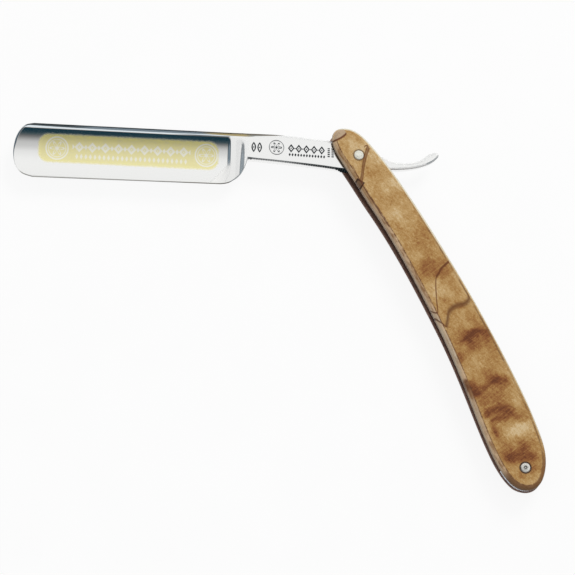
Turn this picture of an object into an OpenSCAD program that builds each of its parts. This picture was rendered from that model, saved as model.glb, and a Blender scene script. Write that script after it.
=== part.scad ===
// Straight razor with a hollow-ground blade and two wooden scales.
// It lies on its side, the flat of the blade facing +Z.  The origin is the
// middle of the rear scale's outer face, the face the razor rests on.  At rest
// the blade runs from the pivot along -X, its spine towards +Y and its cutting
// edge towards -Y, and the handle runs down to the right, part-open.
// The modules below measure from the centre of the pivot, midway through the
// thickness of the tang, and placed() moves each piece into the frame.

/* [Blade] */
// Distance from the pivot to the end of the point
blade_reach = 121.5; // [118:0.5:122]
// Height of the spine's top above the pivot
spine_h = 7.1; // [6.6:0.1:7.4]
// Depth of the cutting edge below the pivot, at the point
edge_d = 12.2; // [11:0.1:12.6]
// How much shallower the edge is at the heel than at the point
edge_rise = 0.7; // [0:0.1:1]
// Thickness of the spine
spine_t = 4.8; // [4.4:0.1:4.9]
// Height of the flat land left on the spine above the hollow
spine_land = 1.8; // [1.4:0.1:2.4]
// Radius of the grinding wheel that makes the hollow
hollow_r = 45; // [44:1:70]
// Width of the honed bevel at the edge
bevel_w = 0.8; // [0.5:0.1:1.2]
// Thickness left at the very edge
edge_t = 0.08; // [0.06:0.02:0.2]

/* [Tang and tail] */
// Thickness of the tang where it passes between the scales
tang_t = 4.5; // [4.2:0.05:4.5]
// Thickness of the tail at its tip
tail_t = 2.0; // [1.6:0.1:2.6]
// Distance from the pivot to the shoulder, where the shank meets the heel
shoulder_x = 39; // [38:0.5:40]
// Width of the flat stabiliser between the hollow and the shoulder groove
stabiliser_w = 3.6; // [3:0.1:4]
// Width of the shoulder groove
groove_w = 1.6; // [1.2:0.1:1.8]
// Spacing of the grip notches under the shank
jimp_pitch = 0.85; // [0.8:0.05:1.2]
// Radius of one grip notch
jimp_r = 0.3; // [0.2:0.05:0.35]

/* [Handle] */
// Distance from the pivot pin to the wedge pin
pin_span = 125.4; // [125:0.1:128]
// Handle width, as a share of its normal width
handle_w = 1.0; // [0.96:0.01:1.05]
// Thickness of one scale
scale_t = 2.8; // [2.6:0.1:3.2]
// How far the rounding of a scale's outer edge reaches across its face
round_w = 1.4; // [1:0.1:1.6]
// How far the rounding reaches down a scale's side
round_h = 2.0; // [1.4:0.1:2.2]
// Gap between the scales at the pivot
gap_pivot = 5.7; // [5.7:0.1:6]
// Gap between the scales at the wedge pin
gap_wedge = 2.4; // [2.4:0.1:2.8]
// Angle between the blade and the handle as it rests
open_angle = 118.3; // [60:0.1:180]

/* [Pins and collars] */
// Diameter of the pivot pin and the wedge pin
pin_d = 1.6; // [1.5:0.05:1.65]
// Radial running clearance between the pivot pin and the tang's bore
pivot_clear = 0.05; // [0.02:0.01:0.08]
// Diameter of the collars under the pin heads
collar_d = 3.4; // [3.2:0.1:3.8]
// Height of a collar's dome
collar_h = 0.75; // [0.6:0.05:0.9]
// Depth of the seat that a collar is sunk into
seat_depth = 0.35; // [0.25:0.05:0.45]
// Diameter of the washers between the tang and the scales
washer_d = 6.4; // [5.6:0.2:7]

/* [Hidden] */
$fn = 64;

pin_r = pin_d / 2;
collar_r = collar_d / 2;
half_spine = spine_t / 2;
half_edge = edge_t / 2;
half_tang = tang_t / 2;
half_tail = tail_t / 2;
half_pivot = gap_pivot / 2;
half_wedge = gap_wedge / 2;
tilt = atan((half_pivot - half_wedge) / pin_span);   // each scale leans in by this
handle_dir = open_angle - 180;                       // direction of the line of the pins

blade_end_x = shoulder_x + groove_w;                 // where the blade wedge meets the tang
hollow_end = blade_end_x + stabiliser_w + 0.8;       // distance from pivot to the hollow
hollow_top = spine_h - spine_land;                   // height where the hollow starts

loose = 0.03;          // room around pins in parts that don't turn
seat_room = 0.2;       // room around a collar in its seat
wedge_gap = 0.8;       // room between the point of the blade and the wedge
wedge_inset = 0.35;    // the wedge's edge lies this far inside the scales' outline
face_gap = 0.01;       // room between the wedge or a collar and the scale it lies on
washer_gap = 0.03;     // room between the tang and a washer
washer_t = half_pivot - half_tang - 0.11;            // nearly fills the room beside the tang
cut_h = 10;            // height of cuts and blanks that span the full thickness

// Height of a scale's outer face above the middle plane, x along the handle.
function outer_z(x) = half_pivot + scale_t/cos(tilt) - x*tan(tilt);
// Height of a collar's seat, sunk below the outer face.
function seat_z(x) = outer_z(x) - seat_depth;

// The resting point measured from the pivot: it becomes the origin.
rest_along = pin_span / 2;
rest_across = 4.6 * handle_w;
rest = [rest_along*cos(handle_dir) - rest_across*sin(handle_dir),
        rest_along*sin(handle_dir) + rest_across*cos(handle_dir),
        -outer_z(rest_along)];

// ---- placing and shaping helpers --------------------------------------------
module placed() translate(-rest) children();

// Turns a part drawn along +X into the direction of the handle.
module in_handle() rotate([0, 0, handle_dir]) children();

// The children on the +Z side and again on the -Z side.
module both_faces() {
    children();
    mirror([0, 0, 1]) children();
}

// A profile drawn in X and Z, extruded along Y.
module along_y(profile)
    translate([0, 30, 0]) rotate([90, 0, 0]) linear_extrude(60) polygon(profile);

// The points, then their reflections in the first axis in reverse order.
function mirrored(points) = concat(points,
    [for (i = [len(points)-1:-1:0]) [points[i][0], -points[i][1]]]);

// ---- curves -----------------------------------------------------------------
// One point of the smooth curve through p1 and p2, u from 0 to 1.
function bend(p0, p1, p2, p3, u) =
    0.5 * (2*p1 + (p2 - p0)*u + (2*p0 - 5*p1 + 4*p2 - p3)*u*u
           + (3*p1 - p0 - 3*p2 + p3)*u*u*u);

// The point at index i, or the end point when i is out of range.
function pick(points, i) = points[max(0, min(len(points) - 1, i))];

// Open curve with a number of steps between neighbours; it omits the last point.
function curve(points, steps) = [for (i = [0:len(points)-2]) for (j = [0:steps-1])
    bend(pick(points, i-1), points[i], points[i+1], pick(points, i+2), j/steps)];

// Closed curve through the points.
function loop(points, steps) = let (n = len(points))
    [for (i = [0:n-1]) for (j = [0:steps-1])
        bend(points[(i+n-1)%n], points[i], points[(i+1)%n], points[(i+2)%n], j/steps)];

// A closed clockwise outline drawn in by a distance along its normals.
function drawn_in(outline, distance) = let (n = len(outline)) [for (i = [0:n-1])
    let (tangent = outline[(i+1)%n] - outline[(i+n-1)%n])
        outline[i] + distance*[tangent[1], -tangent[0]]/norm(tangent)];

// ---- handle outline ---------------------------------------------------------
// Stations around one scale: along the line of the pins, then across it,
// positive towards the convex back of the handle.
stations_span = 125.4;   // distance between the pins in this table
handle_stations = [
    [-11.9,-1.9], [-10.9,0.9], [-8.9,3.1], [-5.5,4.9], [0,6.4], [8,8.0], [19,9.5],
    [33,10.8], [48,11.8], [63,12.5], [78,12.75], [92,12.6], [105,12.1], [115,11.1],
    [122,9.8], [127,7.7], [130.7,4.9], [132.7,2.1], [133.2,-0.9], [132.0,-3.8],
    [129.3,-6.2], [125,-7.5], [119,-7.95], [111,-7.55], [102,-6.6], [92,-5.4],
    [82,-4.35], [72,-3.65], [60,-3.25], [48,-3.1], [36,-3.3], [25,-3.9],
    [15,-4.85], [6,-5.55], [-1,-6.2], [-5.5,-6.4], [-9,-5.75], [-11.2,-4.2]];
handle_outline = loop(
    [for (s = handle_stations) [s[0] * pin_span / stations_span, s[1] * handle_w]], 4);

// ---- blade outline ----------------------------------------------------------
// Round point, from spine to edge: distance beyond its root, then height.
point_length = 7;
point_spine_h = 6.95;    // spine height in this table
point_edge_d = 12.2;     // edge depth in this table
point_stations = [
    [0,6.95], [2.9,6.25], [4.9,4.4], [6.25,1.9], [6.9,-1], [7.0,-4], [6.5,-7],
    [5.4,-9.4], [3.4,-11.2], [0,-12.2]];
point_root_x = -(blade_reach - point_length);
point_curve = [for (s = point_stations)
    [point_root_x - s[0], s[1] * (s[1] > 0 ? spine_h/point_spine_h : edge_d/point_edge_d)]];

// Heel, from the edge up to the shoulder: X and Y.
edge_heel = edge_rise - edge_d;
shoulder_low = [-shoulder_x, -2.0];
heel_curve = [
    [-(shoulder_x + 9.2), edge_heel],
    [-(shoulder_x + 6.9), edge_heel + 0.45],
    [-(shoulder_x + 5.1), edge_heel + 1.35],
    [-(shoulder_x + 3.1), edge_heel + 2.85],
    [-(shoulder_x + 1.9), edge_heel + 4.4],
    [-(shoulder_x + 1.0), edge_heel + 6.1],
    [-(shoulder_x + 0.45), -3.9],
    shoulder_low];

// Underside of the shank and tail, and round the tail's tip: X and Y.
tail_tip = [27.3, 3.8];
shank_low = [
    shoulder_low, [-28,-2.55], [-14,-3.5], [-5.5,-4.3], [2,-4.6], [8,-4.15],
    [11.5,-3.65], [15,-3.4], [18.7,-2.9], [22.3,-2.0], [25.5,-0.75], [27.6,0.6],
    [29.0,2.1], [29.3,2.9], [28.9,3.6], [28.1,3.95], tail_tip];

// Top of the tail and shank, back to the spine: X and Y.
spine_start = [-33, spine_h];
tail_top = [
    tail_tip, [25.6,2.95], [23.9,1.55], [22.1,0.3], [19.8,-0.45], [16.6,-0.8],
    [13.0,-0.65], [9.6,0.45], [5.5,2.6], [0,4.5], [-5,5.35], [-10,5.8], [-17,6.3],
    [-23,6.8], [-28,spine_h - 0.02], spine_start];

blade_outline = concat(
    curve(point_curve, 4), [[point_root_x, -edge_d]],
    curve(heel_curve, 3), curve(shank_low, 4), curve(tail_top, 4), [spine_start]);

// ---- blade ------------------------------------------------------------------
// Half thickness of the blade at height y, before the hollow is ground.
function wedge_z(y) =
    half_edge + (half_spine - half_edge) * (y + edge_d) / (hollow_top + edge_d);

// Everything of the blade ahead of the shoulder: a wedge with a rounded spine.
module blade_wedge() {
    spine_round = 0.8;
    round_y = spine_h + 0.02 - spine_round;
    back = [for (a = [0:15:90])
        [round_y + spine_round*sin(a), half_spine - spine_round + spine_round*cos(a)]];
    side = concat(
        [[-edge_d - 0.3, half_edge], [-edge_d, half_edge], [hollow_top, half_spine]], back);
    // the section is drawn in Y and Z, and runs along -X
    translate([-blade_end_x, 0, 0]) rotate([0, -90, 0]) rotate([0, 0, 90])
        mirror([0, 1, 0]) linear_extrude(blade_reach) polygon(mirrored(side));
}

// Tang and tail seen from the spine: parallel at the pivot, thinning to the tail.
module tang_slab() intersection() {
    along_y(mirrored([[-hollow_end, half_spine], [-shoulder_x + 1, half_tang],
                      [9, half_tang], [30, half_tail]]));
    // overlaps the blade wedge slightly, so that the two join
    translate([-(blade_end_x + 0.01), -30, -10]) cube([100, 60, 20]);
}

// One wheel-ground hollow, on the +Z side.
module hollow() {
    // the wheel's circle, in Y and Z, passes through these two points
    land_foot = [hollow_top, half_spine];
    bevel_y = -edge_d + bevel_w;
    bevel_top = [bevel_y, wedge_z(bevel_y)];
    chord = land_foot - bevel_top;
    chord_l = norm(chord);
    outward = [-chord[1], chord[0]] / chord_l;
    centre = (land_foot + bevel_top)/2 + outward*sqrt(hollow_r*hollow_r - chord_l*chord_l/4);
    translate([-hollow_end, centre[0], centre[1]]) rotate([0, -90, 0])
        cylinder(r = hollow_r, h = blade_reach, $fn = 192);
}

// Shoulder groove on the +Z side, below the spine, deepening a little towards -Y.
module shoulder_groove()
    translate([-(shoulder_x + groove_w/2 + 0.2), 4.4, half_tang + 1.0]) rotate([94, 0, 2])
        cylinder(r = 1.35, h = 20);

// Grip notches, in a row from near the shoulder towards the pivot.
module grip_notches() {
    // height of the row, following the underside of the shank
    function notch_y(x) = let (along = x + 37) -2.08 - 0.052*along - 0.00045*along*along;
    for (i = [0:floor((shoulder_x - 10) / jimp_pitch)])
        let (x = -shoulder_x + 2 + i*jimp_pitch)
            translate([x, notch_y(x), -cut_h/2]) cylinder(r = jimp_r, h = cut_h, $fn = 24);
}

module blade() color([0.86, 0.87, 0.88]) difference() {
    intersection() {
        translate([0, 0, -cut_h/2]) linear_extrude(cut_h) polygon(blade_outline);
        union() {
            blade_wedge();
            tang_slab();
        }
    }
    both_faces() hollow();
    both_faces() shoulder_groove();
    grip_notches();
    // bore for the pivot pin
    translate([0, 0, -cut_h/2]) cylinder(r = pin_r + pivot_clear, h = cut_h);
}

// ---- scales -----------------------------------------------------------------
// One scale lying on z = 0 with its rounded edge upwards.  Rings of points
// follow the outline up the side and over the rounding, and each end is closed
// by a strip of quads across the handle; a flat slab trims both faces.
module scale_body() {
    steps = 5;
    n = len(handle_outline);
    side_h = scale_t - round_h;
    rise = round_h + 0.02;   // just past the slab that trims it
    // each ring: height, then how far the outline is drawn in
    rings = concat([[-0.5, 0], [side_h, 0]],
        [for (i = [1:steps]) let (a = 90*i/steps) [side_h + rise*sin(a), round_w*(1 - cos(a))]]);
    last = len(rings) - 1;
    top = last*n;            // index of the first point of the top ring
    points = [for (r = rings) for (p = drawn_in(handle_outline, r[1])) [p[0], p[1], r[0]]];
    faces = concat(
        [for (i = [0:n/2-1]) [i, i+1, n-i-1, (n-i)%n]],
        [for (j = [0:last-1]) for (i = [0:n-1])
            [j*n + i, (j+1)*n + i, (j+1)*n + (i+1)%n, j*n + (i+1)%n]],
        [for (i = [0:n/2-1]) [top + (n-i)%n, top + n-i-1, top + i+1, top + i]]);
    intersection() {
        polyhedron(points, faces);
        translate([-50, -50, 0]) cube([300, 100, scale_t]);
    }
}

// The +Z scale in place along +X: it leans in towards the wedge pin.
module scale_placed() difference() {
    translate([0, 0, half_pivot]) rotate([0, tilt, 0]) scale_body();
    // pin hole and collar seat at each pin
    for (x = [0, pin_span]) {
        translate([x, 0, -1]) cylinder(r = pin_r + loose, h = 20);
        translate([x, 0, seat_z(x)]) cylinder(r = collar_r + seat_room, h = 10);
    }
}

module front_scale() color([0.72, 0.55, 0.35]) in_handle() scale_placed();
module rear_scale() color([0.70, 0.53, 0.34]) in_handle() mirror([0, 0, 1]) scale_placed();

// ---- wedge ------------------------------------------------------------------
// Spacer between the scales at the far end.  Its inner end is an arc about the
// pivot, so that the point of the blade swings past it.
module wedge() color([0.82, 0.85, 0.88]) in_handle() difference() {
    intersection() {
        translate([0, 0, -cut_h/2]) linear_extrude(cut_h)
            polygon(drawn_in(handle_outline, wedge_inset));
        // the two faces follow the lean of the scales
        along_y(mirrored([for (x = [60, pin_span + 20])
            [x, half_pivot - face_gap - x*tan(tilt)]]));
    }
    translate([0, 0, -6]) cylinder(r = blade_reach + wedge_gap, h = 12, $fn = 256);
    translate([pin_span, 0, -6]) cylinder(r = pin_r + loose, h = 12);
}

// ---- pins, collars and washers ----------------------------------------------
// A peened pin through both scales at x along the handle, with low round heads
// on the collars.  dish is the depth of the hollow in the middle of each head.
module pin_at(x, dish) {
    z = seat_z(x) + collar_h;
    head_z = z + 0.12;
    in_handle() translate([x, 0, 0]) rotate_extrude() polygon(mirrored([
        [pin_r, z - 0.13], [pin_r + 0.25, z - 0.1], [pin_r*0.75, head_z],
        [pin_r*0.45, head_z - dish], [0, z - dish]]));
}

// A domed collar with a hole for the pin, and a dimple for its head.
// side is 0 for the front (+Z) and 1 for the rear (-Z).
module collar_at(x, side) {
    bore = pin_r + 0.02;
    crown_r = bore + 0.28;   // where the dome ends and the dimple starts
    rim_h = 0.3;             // upright rim below the dome
    dome = [for (a = [0:15:75])
        [crown_r + (collar_r - crown_r)*cos(a), rim_h + (collar_h - rim_h)*sin(a)]];
    in_handle() translate([x, 0, 0]) mirror([0, 0, side])
        translate([0, 0, seat_z(x) + face_gap]) rotate_extrude()
            polygon(concat([[bore, 0], [collar_r, 0]], dome,
                [[crown_r, collar_h], [bore + 0.26, collar_h - 0.14], [bore, collar_h - 0.17]]));
}

// A washer beside the tang, with side as for a collar.
module washer_at(side)
    in_handle() mirror([0, 0, side]) translate([0, 0, half_tang + washer_gap]) difference() {
        cylinder(r = washer_d/2, h = washer_t);
        translate([0, 0, -1]) cylinder(r = pin_r + 0.1, h = washer_t + 2);
    }

module pivot_pin() color([0.88, 0.86, 0.80]) pin_at(0, 0);
module front_pivot_collar() color([0.90, 0.88, 0.80]) collar_at(0, 0);
module rear_pivot_collar() color([0.90, 0.88, 0.80]) collar_at(0, 1);
module front_pivot_washer() color([0.80, 0.68, 0.38]) washer_at(0);
module rear_pivot_washer() color([0.80, 0.68, 0.38]) washer_at(1);
module wedge_pin() color([0.80, 0.80, 0.80]) pin_at(pin_span, 0.2);
module front_wedge_collar() color([0.86, 0.86, 0.86]) collar_at(pin_span, 0);
module rear_wedge_collar() color([0.86, 0.86, 0.86]) collar_at(pin_span, 1);

placed() blade();
placed() front_scale();
placed() rear_scale();
placed() wedge();
placed() pivot_pin();
placed() front_pivot_collar();
placed() rear_pivot_collar();
placed() front_pivot_washer();
placed() rear_pivot_washer();
placed() wedge_pin();
placed() front_wedge_collar();
placed() rear_wedge_collar();
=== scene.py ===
# A folding razor lying open on a white floor.  Its plan is in x and y and its thickness in z,
# with the front face up.  From the pivot the blade runs towards -x, its cutting edge on the -y
# side, and the handle runs the other way to the wedge pin.  Shapes are in mm from the pivot.
import math

import bmesh
import bpy
import numpy as np
from mathutils import Matrix, Vector


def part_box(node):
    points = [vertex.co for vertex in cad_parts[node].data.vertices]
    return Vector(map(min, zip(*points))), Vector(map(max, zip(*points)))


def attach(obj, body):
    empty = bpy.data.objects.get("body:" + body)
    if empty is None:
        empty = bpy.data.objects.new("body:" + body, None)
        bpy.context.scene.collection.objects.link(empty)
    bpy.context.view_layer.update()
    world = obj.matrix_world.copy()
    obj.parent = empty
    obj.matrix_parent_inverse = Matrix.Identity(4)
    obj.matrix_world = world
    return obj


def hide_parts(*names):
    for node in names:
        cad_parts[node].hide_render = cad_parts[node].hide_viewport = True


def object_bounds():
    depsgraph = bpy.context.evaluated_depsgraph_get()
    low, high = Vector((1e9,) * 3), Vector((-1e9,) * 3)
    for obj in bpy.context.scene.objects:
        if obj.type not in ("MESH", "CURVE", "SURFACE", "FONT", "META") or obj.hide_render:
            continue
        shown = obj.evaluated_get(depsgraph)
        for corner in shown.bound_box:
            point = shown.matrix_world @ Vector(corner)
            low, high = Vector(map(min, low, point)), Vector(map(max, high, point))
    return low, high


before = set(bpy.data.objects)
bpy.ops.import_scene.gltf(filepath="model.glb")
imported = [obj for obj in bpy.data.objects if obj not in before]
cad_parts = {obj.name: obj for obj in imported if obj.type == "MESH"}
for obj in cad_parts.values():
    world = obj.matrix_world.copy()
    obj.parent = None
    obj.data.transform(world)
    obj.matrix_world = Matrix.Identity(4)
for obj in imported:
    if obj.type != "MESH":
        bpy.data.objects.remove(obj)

cad_low, cad_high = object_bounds()
MM = 0.001
LATTICE = np.random.default_rng(41).random((64, 64, 8))    # random values behind the noise


# ------------------------------------------------------------------ the frame
def centre(node):
    """Centre of a CAD piece, in mm."""
    low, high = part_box(node)
    return np.array((low + high) / 2 / MM)


PIVOT = np.array((sum(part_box("pivot_pin"), Vector((0, 0, 0))) / 2) / MM)
to_wedge = centre("wedge_pin") - PIVOT
SPAN = math.hypot(to_wedge[0], to_wedge[1])               # from pin to pin
chord = math.atan2(to_wedge[1], to_wedge[0])
ALONG = np.array([math.cos(chord), math.sin(chord)])      # along the handle
ACROSS = np.array([-math.sin(chord), math.cos(chord)])    # across it, to the convex back

SCALE_THICK = 2.8
HALF_GAP_PIVOT, HALF_GAP_WEDGE = 2.85, 1.2                # from z = 0 to a scale's inner face
TILT = math.atan((HALF_GAP_PIVOT - HALF_GAP_WEDGE) / SPAN)
ENDS = (("front", 1), ("rear", -1))                       # the scales and their sides in z


def to_handle(x, y):
    """The same place measured along and across the handle; for arrays and shader values."""
    return (x * float(ALONG[0]) + y * float(ALONG[1]),
            x * float(ACROSS[0]) + y * float(ACROSS[1]))


# --------------------------------------------------------------------- curves
def spline(points, steps, closed=False):
    """A Catmull-Rom curve through the points, with steps pieces between each two."""
    points = np.array(points, float)
    count = len(points)
    curve = []
    for i in range(count if closed else count - 1):
        near = np.arange(i - 1, i + 3)
        near = near % count if closed else near.clip(0, count - 1)
        before, start, end, after = points[near]
        for j in range(steps):
            t = j / steps
            curve.append(0.5 * (2 * start + (end - before) * t
                                + (2 * before - 5 * start + 4 * end - after) * t * t
                                + (3 * start - before - 3 * end + after) * t ** 3))
    if not closed:
        curve.append(points[-1])
    return np.array(curve)


def chains(outline):
    """Lower and upper boundary of a closed outline that is single-valued in x."""
    first, last = int(np.argmin(outline[:, 0])), int(np.argmax(outline[:, 0]))
    count = len(outline)
    one = outline[(first + np.arange((last - first) % count + 1)) % count]
    two = outline[(last + np.arange((first - last) % count + 1)) % count][::-1]
    pair = (one, two) if one[:, 1].mean() < two[:, 1].mean() else (two, one)
    rising = []
    for chain in pair:
        x = np.maximum.accumulate(chain[:, 0]) + np.arange(len(chain)) * 1e-9
        rising.append(np.c_[x, chain[:, 1]])
    return rising


def edge_distance(x, y, outline):
    """Distance of each place from a closed outline, worked out in blocks to save memory."""
    places = np.c_[x.ravel(), y.ravel()]
    step_to_next = np.roll(outline, -1, 0) - outline
    length2 = (step_to_next ** 2).sum(1) + 1e-18
    distance = np.empty(len(places))
    block = 4000
    for i in range(0, len(places), block):
        place = places[i:i + block, None, :]
        t = np.clip(((place - outline) * step_to_next).sum(2) / length2, 0, 1)
        nearest = outline + t[..., None] * step_to_next
        distance[i:i + block] = np.sqrt(((nearest - place) ** 2).sum(2).min(1))
    return distance.reshape(x.shape)


def smooth(t):
    """0 to 1 with soft ends."""
    t = np.clip(t, 0, 1)
    return t * t * (3 - 2 * t)


def arc_drop(t):
    """How far a quarter circle of radius 1 has fallen at t, 0 to 1."""
    return 1 - np.sqrt(np.maximum(1 - t * t, 0))


def value_noise(x, y, layer):
    column, row = np.floor(x).astype(int), np.floor(y).astype(int)
    part_x, part_y = smooth(x - column), smooth(y - row)
    grid = LATTICE[..., layer % 8]

    def corner(i, j):
        return grid[(column + i) % 64, (row + j) % 64]

    return (corner(0, 0) * (1 - part_x) * (1 - part_y) + corner(1, 0) * part_x * (1 - part_y)
            + corner(0, 1) * (1 - part_x) * part_y + corner(1, 1) * part_x * part_y)


def layered_noise(x, y, layer, octaves):
    """Value noise in ever finer and weaker layers, 0 to 1."""
    result, weight, total = 0, 1.0, 0
    for i in range(octaves):
        result = result + weight * value_noise(x * 2 ** i + 17.3 * i, y * 2 ** i + 5.1 * i,
                                               layer + i)
        total += weight
        weight *= 0.5
    return result / total


# ---------------------------------------------------------------- mesh helpers
def new_object(name, verts, faces):
    """A mesh from points in mm, measured from the centre of the pivot."""
    mesh = bpy.data.meshes.new(name)
    points = (np.array(verts, float) + PIVOT) * MM
    mesh.from_pydata([tuple(v) for v in points], [], [tuple(f) for f in faces])
    mesh.validate()
    mesh.update()
    ob = bpy.data.objects.new(name, mesh)
    bpy.context.scene.collection.objects.link(ob)
    return ob


def local(ob):
    """The x, y and z of a mesh's points in mm, measured from the centre of the pivot."""
    return (np.array([v.co for v in ob.data.vertices]) / MM - PIVOT).T


def store(ob, **layers):
    """Store arrays as float attributes of the points."""
    for name, values in layers.items():
        layer = ob.data.attributes.new(name, "FLOAT", "POINT")
        layer.data.foreach_set("value", values.astype(np.float32))


def shade(ob, angle):
    """Shade smooth, except over edges sharper than angle, in degrees."""
    mesh = ob.data
    mesh.polygons.foreach_set("use_smooth", [True] * len(mesh.polygons))
    bm = bmesh.new()
    bm.from_mesh(mesh)
    limit = math.radians(angle)
    for edge in bm.edges:
        edge.smooth = not (len(edge.link_faces) == 2 and edge.calc_face_angle(0) > limit)
    bm.to_mesh(mesh)
    bm.free()
    mesh.update()


def cut(ob, cutters):
    """Take the cutters out of a piece, and remove them."""
    for cutter in cutters:
        boolean = ob.modifiers.new("cut", "BOOLEAN")
        boolean.operation = "DIFFERENCE"
        boolean.solver = "EXACT"
        boolean.object = cutter
    bpy.context.view_layer.update()
    depsgraph = bpy.context.evaluated_depsgraph_get()
    depsgraph.update()
    mesh = bpy.data.meshes.new_from_object(ob.evaluated_get(depsgraph))
    ob.modifiers.clear()
    old = ob.data
    ob.data = mesh
    mesh.name = ob.name
    bpy.data.meshes.remove(old)
    for cutter in cutters:
        bpy.data.objects.remove(cutter)


def drill(x, y, ends, radius, count=72):
    """An upright cylinder between two heights, as a cutter."""
    angle = np.arange(count) * 2 * math.pi / count
    ring = np.c_[x + radius * np.cos(angle), y + radius * np.sin(angle)]
    verts = [(*p, z) for z in sorted(ends) for p in ring]
    faces = [tuple(range(count))[::-1], tuple(range(count, 2 * count))]
    faces += [(i, (i + 1) % count, count + (i + 1) % count, count + i) for i in range(count)]
    return new_object("cutter", verts, faces)


def columns(parts, lower, margin):
    """Sorted x places of a plate's columns, with its two tips as the ends."""
    xs = np.unique(np.round(np.concatenate(parts), 5))
    left, right = lower[0, 0], lower[-1, 0]
    xs = xs[(xs > left + margin) & (xs < right - margin)]
    return np.concatenate([[left], xs, [right]])


def slab(name, boundary, xs, rows, surfaces, place=None):
    """A closed plate over the plan between two chains.  For the upper and the lower surface in
    turn, rows gives the y of each row at each column and surfaces gives z; place moves the
    points."""
    low, high = (np.interp(xs, chain[:, 0], chain[:, 1]) for chain in boundary)
    for tip in (0, -1):
        low[tip] = high[tip] = (low[tip] + high[tip]) / 2
    count = len(xs)
    verts, faces, index = [], [], []
    for make_rows, surface, order in zip(rows, surfaces, (1, -1)):
        y = make_rows(xs, low, high)
        row_count = y.shape[0]
        x = np.repeat(xs[None, :], row_count, 0)
        z = surface(x, y)
        ids = np.zeros((row_count, count), int)
        for i in range(count):
            for j in range(row_count):
                if i in (0, count - 1) and j:      # each tip is a single point
                    ids[j, i] = ids[0, i]
                    continue
                ids[j, i] = len(verts)
                verts.append((x[j, i], y[j, i], z[j, i]))
        index.append(ids)
        for i in range(count - 1):
            for j in range(row_count - 1):
                quad = (ids[j, i], ids[j, i + 1], ids[j + 1, i + 1], ids[j + 1, i])
                faces.append(list(dict.fromkeys(quad))[::order])
    top, under = index
    for i in range(count - 1):
        faces.append([top[0, i], under[0, i], under[0, i + 1], top[0, i + 1]])
        faces.append([top[-1, i + 1], under[-1, i + 1], under[-1, i], top[-1, i]])
    verts = np.array(verts)
    return new_object(name, verts if place is None else place(verts), faces)


# ===================================================================== BLADE
REACH = 121.5                             # from the pivot to the toe
SPINE, EDGE = 7.1, 12.2                   # the back lies at y = SPINE, the edge at y = -EDGE
HEEL_Y = 0.7 - EDGE
TOE_X = -(REACH - 7)                      # where the rounded toe starts
SPINE_HALF, TANG_HALF, TAIL_HALF, EDGE_HALF = 2.4, 2.25, 1.0, 0.04     # half thicknesses
SHOULDER = 39.0                           # from the pivot to the heel's shoulder
HOLLOW_END = SHOULDER + 6.0
LAND = SPINE - 1.8                        # y where the spine's flat starts
HOLLOW_RADIUS, BEVEL = 45.0, 0.8
# the wall at the end of the hollow: it bends off below y = -WALL_DROP and grows wider
WALL_DROP, WALL_BEND, WALL_POWER, WALL_WIDTH, WALL_SPREAD = 4.2, 0.10, 1.6, 1.05, 0.45
NOTCH_PITCH, NOTCH_RADIUS, NOTCH_START = 0.85, 0.3, SHOULDER - 2

# the outline's parts, as (x, y)
shank_low = [
    [-SHOULDER, -2.0], [-28, -2.55], [-14, -3.5], [-5.5, -4.3], [2, -4.6], [8, -4.15],
    [11.5, -3.65], [15, -3.4], [18.7, -2.9], [22.3, -2.0], [25.5, -0.75], [27.6, 0.6],
    [29.0, 2.1], [29.3, 2.9], [28.9, 3.6], [28.1, 3.95], [27.3, 3.8]]
tail_top = [
    [27.3, 3.8], [25.6, 2.95], [23.9, 1.55], [22.1, 0.3], [19.8, -0.45], [16.6, -0.8],
    [13.0, -0.65], [9.6, 0.45], [5.5, 2.6], [0, 4.5], [-5, 5.35], [-10, 5.8], [-17, 6.3],
    [-23, 6.8], [-28, SPINE - 0.02], [-33, SPINE]]
toe = [[TOE_X - beyond, y] for beyond, y in (
    (0, 7.1), (2.9, 6.38), (4.9, 4.49), (6.25, 1.94), (6.9, -1), (7.0, -4), (6.5, -7),
    (5.4, -9.4), (3.4, -11.2), (0, -12.2))]
heel = [[-(SHOULDER + beyond), y] for beyond, y in (
    (9.2, HEEL_Y), (6.9, HEEL_Y + 0.45), (5.1, HEEL_Y + 1.35), (3.1, HEEL_Y + 2.85),
    (1.9, HEEL_Y + 4.4), (1.0, HEEL_Y + 6.1), (0.45, -3.9), (0, -2.0))]
blade_outline = np.concatenate([
    spline(toe, 24)[:-1], [[TOE_X, -EDGE]], spline(heel, 16)[:-1],
    spline(shank_low, 16)[:-1], spline(tail_top, 16)[:-1], [[-33, SPINE]]])
blade_chains = chains(blade_outline)


def flank(y):
    """Half thickness of a plain wedge from the edge to the spine's flat."""
    return EDGE_HALF + (SPINE_HALF - EDGE_HALF) * (y + EDGE) / (LAND + EDGE)


# centre (y, z) of the circle that hollows the flank, through the land and the bevel's top
land_corner = np.array([LAND, SPINE_HALF])
bevel_top = np.array([BEVEL - EDGE, flank(BEVEL - EDGE)])
hollow_chord = land_corner - bevel_top
chord_length = np.linalg.norm(hollow_chord)
WHEEL = (land_corner + bevel_top) / 2 + (
    np.array([-hollow_chord[1], hollow_chord[0]]) / chord_length
    * math.sqrt(HOLLOW_RADIUS ** 2 - chord_length * chord_length / 4))


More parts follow.
